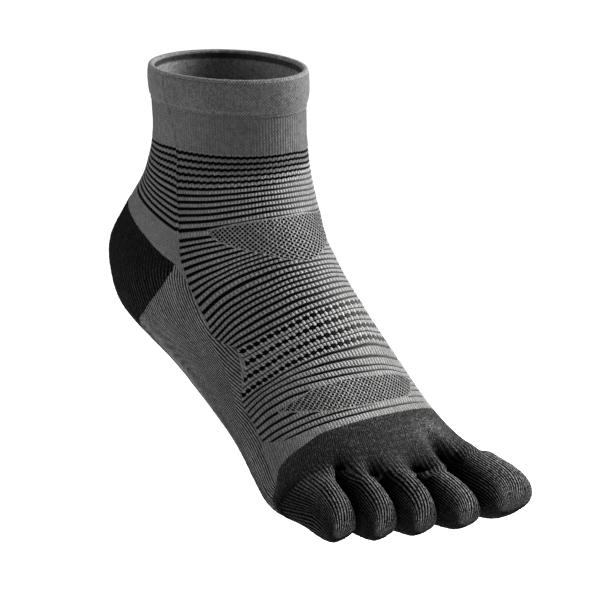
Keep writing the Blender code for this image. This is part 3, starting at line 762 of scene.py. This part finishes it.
def toe_mouth(toe):
    """The root of a toe as a loop of points, the directions of the form there, wales and lengths.

    The loop goes up the outer side, over the top, down the inner side and back underneath. A
    side between two toes is straight, and the outermost sides follow the edge of the toe box.
    """
    steps = np.arange(TOE_SIDE) / TOE_SIDE

    def side_ends(side):
        if toe[side] is None:
            return OUTERMOST_SIDES[side]
        return [root_angle(toe[side] * BALL_WIDTH, above) for above in (True, False)]

    def on_edge(start, end):
        angles = start + (end - start) * steps
        station = root_station(angles)
        edge = toe_form(angles, station)
        knit = np.stack([wales(angles, station), length_down(angles, station)], axis=-1)
        return np.concatenate([edge, edge - toe_form(angles, station - RUN_ON), knit], axis=-1)

    def straight(start, end):
        ends = on_edge(start, end)[:1], on_edge(end, start)[:1]
        return ends[0] * (1 - steps[:, None]) + ends[1] * steps[:, None]

    (outer_high, outer_low), (inner_high, inner_low) = side_ends("outer"), side_ends("inner")
    if toe["outer"] is None:
        outer_side = on_edge(outer_low - 360, outer_high)
    else:
        outer_side = straight(outer_low, outer_high)
    inner_side = on_edge(inner_high, inner_low) if toe["inner"] is None else straight(inner_high, inner_low)
    top = on_edge(outer_high, inner_high)
    edge = np.concatenate([outer_side, top, inner_side, on_edge(inner_low, outer_low)])
    loop, way, knit = edge[:, :3], edge[:, 3:6], edge[:, 6:]
    way = way / np.linalg.norm(way, axis=-1, keepdims=True)
    # The wales run on from the toe box over the top and are counted on from there down the sides.
    to_next = np.linalg.norm(np.diff(loop, axis=0, append=loop[:1]), axis=-1)
    covered = np.concatenate([[0], np.cumsum(to_next)]) / WALE_WIDTH
    wale = np.append(knit[:, 0], 0)
    wale[:TOE_SIDE] = wale[TOE_SIDE] - covered[TOE_SIDE] + covered[:TOE_SIDE]
    last = 2 * TOE_SIDE - 1
    wale[last + 1:] = wale[last] + covered[last + 1:] - covered[last]
    return loop, way, wale, np.append(knit[:, 1], knit[0, 1])


def lane_border(root, tip, reach, forward):
    """The x of a border between two toes at places forward, a straight line from root to tip."""
    angle = root_angle(root * BALL_WIDTH, True)
    start = form(angle, root_station(angle))
    share = (forward + start[1]) / (reach * FOOT_REACH + start[1])
    return (root + (tip - root) * share) * BALL_WIDTH


def keep_in_lane(toe, grid):
    """Presses a toe flat where it would pass the border to a neighbour."""
    index = [row[0] for row in TOES].index(toe["name"])
    forward = -grid[..., 1]
    for side, neighbour, press in (("inner", -1, np.minimum), ("outer", 1, np.maximum)):
        if toe[side] is not None:
            reach = (toe["reach"] + TOES[index + neighbour][TOE_COLUMNS.index("reach")]) / 2
            border = lane_border(toe[side], toe[side + "_tip"], reach, forward)
            grid[..., 0] = press(grid[..., 0], border + neighbour * TOE_GAP / 2)
    return grid


def bezier(points, t):
    """Points of a cubic curve between the first and the last of four points."""
    a, b, c, d = (np.asarray(point, float) for point in points)
    t = t[:, None]
    return a * (1 - t) ** 3 + 3 * b * t * (1 - t) ** 2 + 3 * c * t ** 2 * (1 - t) + d * t ** 3


def toe_surface(toe, loop, way):
    """A toe from its root to the last ring before its point, and the point.

    Seen from the side, one curve runs from the root over the top and down the front, another
    along the underside, and both end at the point, low in front. Each ring is an oval between
    them that fills the toe's lane. Near the root the rings pass into the run of the form.
    """
    root_x = (loop[:, 0].max() + loop[:, 0].min()) / 2
    top, bottom = loop[loop[:, 2].argmax()], loop[loop[:, 2].argmin()]
    reach, low = toe["reach"] * FOOT_REACH, -toe["bottom"] * HEIGHT
    tip_half = (toe["inner_tip"] - toe["outer_tip"]) * BALL_WIDTH / 2 - TOE_GAP / 2
    tip_x = (toe["inner_tip"] + toe["outer_tip"]) * BALL_WIDTH / 2
    tall = -toe["top"] * HEIGHT - low
    t = 1 - (1 - np.linspace(0, 1, TOE_ROWS + 1)[:-1]) ** ROW_CROWDING
    end = np.array([reach - TIP_SETBACK * tall, low + toe["point"] * tall])
    slope, run = np.array(TIP_SLOPE), np.array(RIDGE_SLOPE)
    high, deep = np.array([-top[1], top[2]]), np.array([-bottom[1], bottom[2]])
    for _ in range(4):   # brings the foremost point of the ridge to the toe's reach
        ridge = (high, high + run * toe["fullness"] * (reach - high[0]), end + slope * TIP_FRONT * tall, end)
        over = bezier(ridge, t)
        end[0] += reach - over[:, 0].max()
    sole = (deep, ((deep[0] + end[0]) / 2, low), end - slope * (toe["point"] + TIP_CHIN) * tall, end)
    under = bezier(sole, t)
    centre, half_way = (over + under) / 2, (over - under) / 2
    fullness = np.minimum(np.linalg.norm(half_way, axis=1) / (TIP_ROUNDING * tip_half), 1)
    narrowing = (1 - (1 - fullness) ** TIP_POWER) ** (1 / TIP_POWER)
    half = (np.ptp(loop[:, 0]) / 2 * (1 - t) + tip_half * t) * narrowing
    centre_x = root_x + (tip_x - root_x) * t
    around = np.radians(-45 + 90 * np.arange(len(loop)) / TOE_SIDE)
    across, upwards = signed_power(np.cos(around), TOE_SQUARE), signed_power(np.sin(around), TOE_SQUARE)
    x = centre_x[:, None] - half[:, None] * across
    y = -(centre[:, :1] + half_way[:, :1] * upwards)
    z = centre[:, 1:] + half_way[:, 1:] * upwards
    oval = np.stack([x, y, z], axis=-1)
    moved = np.linalg.norm(centre - centre[0], axis=1)
    run_on = loop + way * moved[:, None, None]
    blend = step(moved, 0, BLEND_LENGTH)[:, None, None]
    grid = keep_in_lane(toe, run_on * (1 - blend) + oval * blend)
    return grid, np.array([tip_x, -end[0], end[1]])


def make_toe(toe):
    """One toe, open at its root, with ribs that run over it and down its front."""
    loop, way, wale, length = toe_mouth(toe)
    grid, point = toe_surface(toe, loop, way)
    grid = np.concatenate([grid, grid[:, :1]], axis=1)
    wale = wale + np.zeros((len(grid), 1))
    length = length + running_sum(grid, axis=0)
    share = (np.arange(len(grid)) / (len(grid) - 1))[:, None]
    ribbed = step(share, 0.97, 0.6) * (0.6 + 0.4 * step(share, 0, 0.2))
    # Where the underside spreads the wales far apart, the ribs pass into plain knit.
    spread = np.linalg.norm(np.gradient(grid, axis=1), axis=2) / np.maximum(np.gradient(wale, axis=1), 0.01)
    ribbed = ribbed * step(spread / WALE_WIDTH, 2.3, 1.7)
    relief = black_relief(wale, length, ribbed) * step(share, 1.0, 0.88)
    # Painted light: the colour is lighter along the top and front, and painted shade darkens the
    # sides and, near the root, the gaps between the toes, which get hardly any light.
    around = np.radians(-45 + 90 * np.arange(grid.shape[1]) / TOE_SIDE)
    topmost = np.sin(around) - 0.25 * np.cos(around)
    corners = np.exp(-(share / 0.3) ** 2) * (1 - step(topmost, 0.6, 1.0))
    if toe["outer"] is None:
        corners = corners * (np.cos(around) < 0)
    painted_light = (0.25 + 0.75 * step(topmost, -0.05, 0.75)) * (1 - 0.9 * corners)
    values = np.stack(np.broadcast_arrays(wale, length * 1000, ribbed, painted_light, 0, 0), axis=-1)
    return make_skin(toe["name"], black_knit, grid, relief, KNIT_WALL, values, True, point)


def sign(operation, reflected=False):
    """The method of a Wire that works one sign with a Math node."""
    def work(self, other):
        return self.maths(operation, *((other, self) if reflected else (self, other)))
    return work


class Wire:
    """A number socket of a shader tree, worked with by ordinary signs."""

    __add__, __radd__ = sign("ADD"), sign("ADD", True)
    __sub__, __rsub__ = sign("SUBTRACT"), sign("SUBTRACT", True)
    __mul__, __rmul__ = sign("MULTIPLY"), sign("MULTIPLY", True)
    __truediv__, smaller, larger = sign("DIVIDE"), sign("MINIMUM"), sign("MAXIMUM")

    def __init__(self, look, socket):
        self.look, self.socket = look, socket

    def maths(self, operation, *numbers):
        """The output of a Math node over sockets or plain numbers."""
        node = self.look.node("ShaderNodeMath", {"operation": operation}, dict(enumerate(numbers)))
        return Wire(self.look, node.outputs[0])

    def wave(self):
        """A cosine with a period of 1, between 0 and 1."""
        return self.maths("COSINE", self * math.tau) * 0.5 + 0.5

    def to_line(self):
        """The distance to the nearest whole number."""
        off = self.maths("FRACT", self + 0.5) - 0.5
        return off.maths("ABSOLUTE", off)

    def ramp(self, start, end):
        """0 up to start and 1 from end on, smooth between them."""
        settings = {"interpolation_type": "SMOOTHSTEP"}
        sockets = {"Value": self, "From Min": start, "From Max": end}
        node = self.look.node("ShaderNodeMapRange", settings, sockets)
        return Wire(self.look, node.outputs["Result"])


class Look:
    """A material with a Principled shader and the nodes that lead to it."""

    def __init__(self, name, roughness, sheen):
        self.material = bpy.data.materials.new(name)
        self.material.use_nodes = True
        self.tree = self.material.node_tree
        self.shader = self.tree.nodes["Principled BSDF"]
        self.set({
            "Roughness": roughness, "Specular IOR Level": 0, "Sheen Weight": sheen, "Sheen Roughness": 0.25,
        })

    def set(self, finish):
        """Sets sockets of the shader that are the same all over the surface."""
        for socket, value in finish.items():
            self.shader.inputs[socket].default_value = value

    def node(self, kind, settings, sockets):
        """Makes a node: its settings first, then its sockets by name or number."""
        node = self.tree.nodes.new(kind)
        for name, value in settings.items():
            setattr(node, name, value)
        for name, value in sockets.items():
            if isinstance(value, Wire):
                self.tree.links.new(value.socket, node.inputs[name])
            else:
                node.inputs[name].default_value = value
        return node

    def attribute(self, name):
        """The three numbers of an attribute."""
        vector = self.node("ShaderNodeAttribute", {"attribute_name": name}, {}).outputs["Vector"]
        split = self.node("ShaderNodeSeparateXYZ", {}, {0: Wire(self, vector)})
        return [Wire(self, output) for output in split.outputs]

    def noise(self, scale):
        """Noise over the object's coordinates, about -1 to 1."""
        place = Wire(self, self.node("ShaderNodeTexCoord", {}, {}).outputs["Object"])
        noise = self.node("ShaderNodeTexNoise", {}, {"Vector": place, "Scale": scale, "Detail": 2.0})
        return (Wire(self, noise.outputs[0]) - 0.5) * 2

    def finish(self, shade, height, distance):
        """Joins the colour, a shade from black to a faintly warm white, and the bump to the shader."""
        sockets = {0: shade, 6: BLACK, 7: WARM_WHITE}
        colour = self.node("ShaderNodeMix", {"data_type": "RGBA"}, sockets)
        sockets = {"Height": height, "Distance": distance, "Strength": 1.0}
        bump = self.node("ShaderNodeBump", {}, sockets)
        self.tree.links.new(colour.outputs[2], self.shader.inputs["Base Color"])
        self.tree.links.new(bump.outputs[0], self.shader.inputs["Normal"])
        return self.material


def make_striped_knit():
    """The striped knit: grey bands of upright stitches between black stripes, with open mesh."""
    look = Look("striped_knit", 0.85, 0.04)
    wale, length, openness = look.attribute("knit")
    count, inset, mesh = look.attribute("pattern")
    course = length / (COURSE * 1000)
    outer, inner = openness.smaller(1), (openness - 1).larger(0)
    fine, middling, broad = look.noise(1500), look.noise(600), look.noise(60)
    striped = inset.ramp(-0.1, 0.1)
    # The stitches of a wale lean to and fro from course to course.
    slanted = wale + (course.wave() - 0.5) * 0.16
    bar = slanted.wave()
    teeth = (wale * 0.5 + course * 0.5).to_line() * 2
    upper = count.ramp(6.4, 5.6)
    dashed = count.ramp(DASHES[0] - 0.1, DASHES[0]) * count.ramp(DASHES[1] + 0.1, DASHES[1])
    every_other = (count * 0.5).to_line().ramp(0.26, 0.24)
    tuft = (wale / 2).wave()
    dashes = (tuft + fine * 0.35).ramp(0.0, 0.5)
    thin = count.ramp(DASHES[1], DASHES[1] + 0.5)
    # Half widths of the stripes, as shares of the way from one to the next.
    plain_width = 0.22 + (bar - 0.5) * 0.08 + upper * (teeth - 0.5) * 0.2 - thin * 0.06 - inner * 0.07
    plain_width = plain_width + (1 - outer) * 0.01
    dash_width = every_other * (0.13 + dashes * 0.28) + (1 - every_other) * 0.10
    width = plain_width * (1 - dashed) + dash_width * dashed
    off = count.to_line()
    stripe = (width + fine * 0.05 - off).ramp(-0.05, 0.05) * striped * (1 - inner * 0.3)
    heather = fine * 0.5 + middling * 0.35 + broad * 0.15
    weave = (wale * 2 + course * 0.9 + middling * 0.5).wave() * 0.6 + (wale - course * 0.9).wave() * 0.4
    plain = (weave + fine * 0.4).ramp(0.35, 0.85) * (1 - striped) * 0.7
    gap = (1 - bar + fine * 0.2).ramp(0.45, 1.0) * (outer * 0.45 + 0.45 - inner * 0.45) * striped
    tufted = dashed * (1 - tuft).ramp(0.2, 0.8) * 0.25
    # Holes stand in diagonal rows, one to 2 mm down and to 1.36 wales across.
    u, v = length, wale / 0.68
    hole = ((u + v) * 0.5).wave() * ((u - v) * 0.5).wave()
    holes = (hole + fine * 0.05).ramp(0.06, 0.26) * mesh.ramp(0.1, 0.4)
    # Painted light and shade: the bands are painted dark behind, lighter on the outer half of the
    # front, less so on the inner.
    light = (0.085 + outer * 0.155 - inner * 0.11) * (1 + heather * 1.3)
    light = light * (1 - plain) * (1 - gap) * (1 + tufted)
    dark = stripe.larger(holes)
    shade = light.larger(0.008) * (1 - dark * 0.985)
    height = bar * 0.55 * (1 - dark) + heather * 0.4 - dark * 0.9 + course.wave() * 0.25
    return look.finish(shade, height, 0.00022)


def make_grey_knit():
    """The plain heather knit of the cuff and the sole: fine wales, loose threads and light specks."""
    look = Look("grey_knit", 0.88, 0.12)
    wale, length, sole = look.attribute("knit")
    share = look.attribute("pattern")[0]
    course = length / (COURSE * 1000)
    fine, middling, broad = look.noise(1500), look.noise(700), look.noise(60)
    heather = fine * 0.5 + middling * 0.35 + broad * 0.15
    slant = (wale * 2 + course * 0.9 + middling * 0.5).wave()
    dots = (wale + course * 0.9 + fine * 0.2).wave() * (wale - course * 0.9).wave()
    maze = (1 - slant * 0.62) * (1 - dots * 0.55) * (1 - fine.ramp(0.1, 0.6) * 0.4) * 1.12
    lines = (wale * SOLE_WALES + middling * 0.2 + broad * 0.3).wave() + fine * 0.35
    lined = (1 - lines.ramp(0.2, 0.75) * 0.93) * (1 - (course + middling).wave() * 0.25) * 1.4
    specks = look.noise(800).ramp(0.5, 0.8) * 0.7
    inside = share.ramp(-0.4, -0.6)
    # A dark band lies inside the cuff, below its fold.
    under_rim = share.ramp(-1.30, -1.22) * share.ramp(-1.07, -1.12)
    # Painted light: the inside of the cuff is painted lighter, as little light reaches it.
    base = 0.105 - sole * 0.03 + inside * 0.06
    base = base * (1 - under_rim * 0.8)
    shade = base * (1 + heather * 1.7) * (maze * (1 - sole) + lined * sole) + specks * base
    height = (slant * 0.5 - dots * 0.3) * (1 - sole) - lines * sole * 0.8 + heather * 0.7
    return look.finish(shade, height, 0.00022)


def make_black_knit():
    """The black terry knit of the heel and the toes."""
    look = Look("black_knit", 0.9, 0.02)
    wale, length, ribbed = look.attribute("knit")
    painted_light = look.attribute("pattern")[0]
    course = length / (COURSE * 1000)
    fine, middling = look.noise(2000), look.noise(1000)
    fuzz = fine * 0.5 + middling * 0.5
    rib = (wale / RIB_WALES + middling * 0.18).wave().ramp(0.4, 1.0) * (0.75 + fuzz * 2.2)
    terry = (wale * 1.7 + course * 0.4 + middling * 0.3).wave() * 0.3 + fuzz.ramp(-0.05, 0.6) * 0.8
    pile = rib * 1.5 * ribbed + terry * (1 - ribbed)
    # Painted light and shade: the colour is scaled by the painted light that each piece gives.
    shade = (0.002 + pile.larger(0) * 0.085 + fine.ramp(0.35, 0.8) * 0.06) * painted_light
    height = fuzz * 0.9 + rib * ribbed * 0.5 + (wale * 1.7).wave() * 0.3
    return look.finish(shade, height, 0.00025)


def make_stage():
    """A plain pale floor well below the toes, and a pale world."""
    mesh = bpy.data.meshes.new("floor")
    far = FLOOR_REACH
    corners = [(x, y, FLOOR_LEVEL) for x, y in ((-far, -far), (far, -far), (far, far), (-far, far))]
    mesh.from_pydata(corners, [], [(0, 1, 2, 3)])
    floor = placed("floor", mesh)
    look = Look("floor", 0.9, 0.0)
    look.set({"Base Color": (0.9, 0.9, 0.9, 1), "Emission Color": (1, 1, 1, 1), "Emission Strength": 0.75})
    floor.data.materials.append(look.material)
    world = bpy.data.worlds.new("studio")
    world.use_nodes = True
    background = world.node_tree.nodes["Background"].inputs
    background["Color"].default_value, background["Strength"].default_value = (1, 1, 1, 1), 0.32
    bpy.context.scene.world = world
    bpy.context.scene.view_settings.view_transform = "Standard"


def add_light(name, azimuth, elevation, distance, size, power):
    """A square soft light that shines at the middle of the sock."""
    lamp = bpy.data.lights.new(name, "AREA")
    lamp.size, lamp.energy = size, power
    placed(name, lamp).matrix_world = looking_from(azimuth, elevation, distance, MIDDLE)


def looking_from(azimuth, elevation, distance, target):
    """The placement of a camera or light that looks at a target from a direction in degrees."""
    a, e = math.radians(azimuth), math.radians(elevation)
    back = Vector((math.sin(a) * math.cos(e), -math.cos(a) * math.cos(e), math.sin(e)))
    right = Vector((math.cos(a), math.sin(a), 0))
    turn = Matrix((right, back.cross(right), back)).transposed().to_4x4()
    return Matrix.Translation(target + back * distance) @ turn


def make_camera():
    """The camera at the photo's angle, with its long lens."""
    data = bpy.data.cameras.new("camera")
    data.lens = CAMERA_LENS
    camera = placed("camera", data)
    aside = looking_from(CAMERA_AZIMUTH, CAMERA_ELEVATION, 0, Vector()).to_3x3()
    target = MIDDLE + aside @ CAMERA_ASIDE
    camera.matrix_world = looking_from(CAMERA_AZIMUTH, CAMERA_ELEVATION, CAMERA_DISTANCE, target)
    bpy.context.scene.camera = camera


striped_knit = make_striped_knit()
grey_knit = make_grey_knit()
black_knit = make_black_knit()

pieces = [
    (make_cuff(), "cuff", "grey_knit"),
    (make_leg(), "leg", "striped_knit"),
    (make_heel(), "heel_pocket", "black_knit"),
    (make_instep(), "instep_panel", "striped_knit"),
    (make_sole(), "sole_panel", "grey_knit"),
    (make_toe_box(), "toe_box", "black_knit"),
]
for row in TOES:
    pieces.append((make_toe(dict(zip(TOE_COLUMNS, row))), row[0], "black_knit"))
for piece, node, finish in pieces:
    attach(piece, "root")
    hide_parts(node)

make_stage()
add_light("key", 66, 32, 1.0, 0.6, 52)
add_light("rim", -145, 20, 1.0, 0.6, 9)
make_camera()
